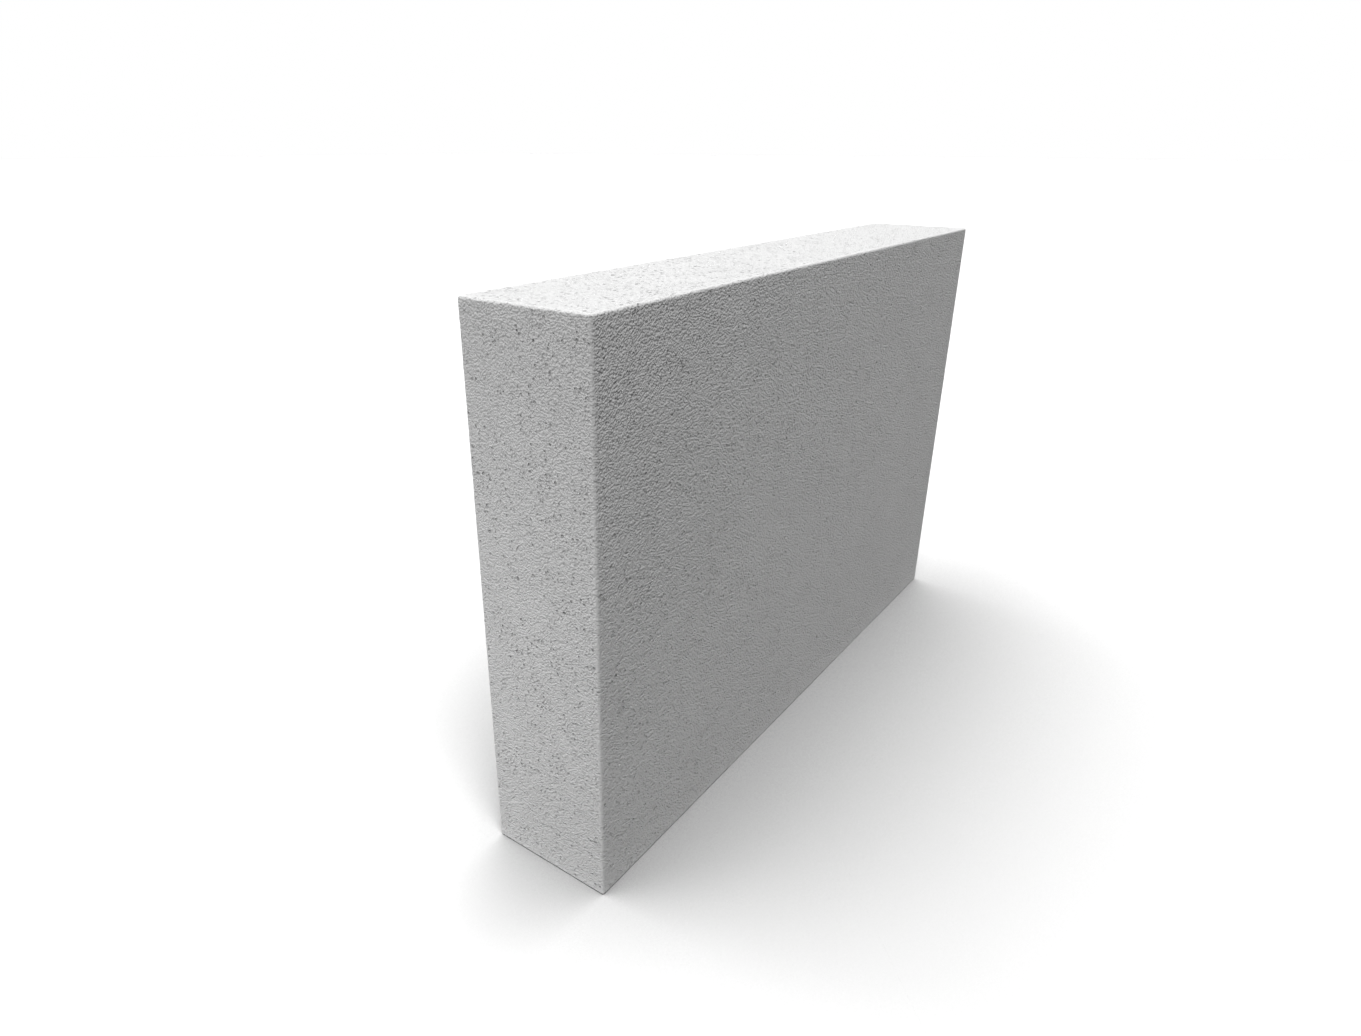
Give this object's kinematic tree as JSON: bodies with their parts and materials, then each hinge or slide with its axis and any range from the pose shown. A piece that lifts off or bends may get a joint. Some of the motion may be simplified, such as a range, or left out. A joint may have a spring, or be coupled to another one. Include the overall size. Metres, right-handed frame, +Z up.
{
  "type": "aerated concrete block",
  "caption": "Smooth solid aerated concrete wall block with plain sawn faces, eased edges and a fine-pored matt grey surface, laid in thin-bed mortar on its long narrow face.",
  "frame": {"origin": "centre of the lower bed face, on the surface that the block stands on", "axes": "+X along the block's length and the wall, +Y across the wall's thickness, +Z up"},
  "size_m": [0.6, 0.1, 0.4],
  "materials": {
    "aerated_concrete": "matt, sawn, with fine open pores"
  },
  "bodies": {
    "root": {"block": "aerated_concrete"}
  },
  "joints": []
}
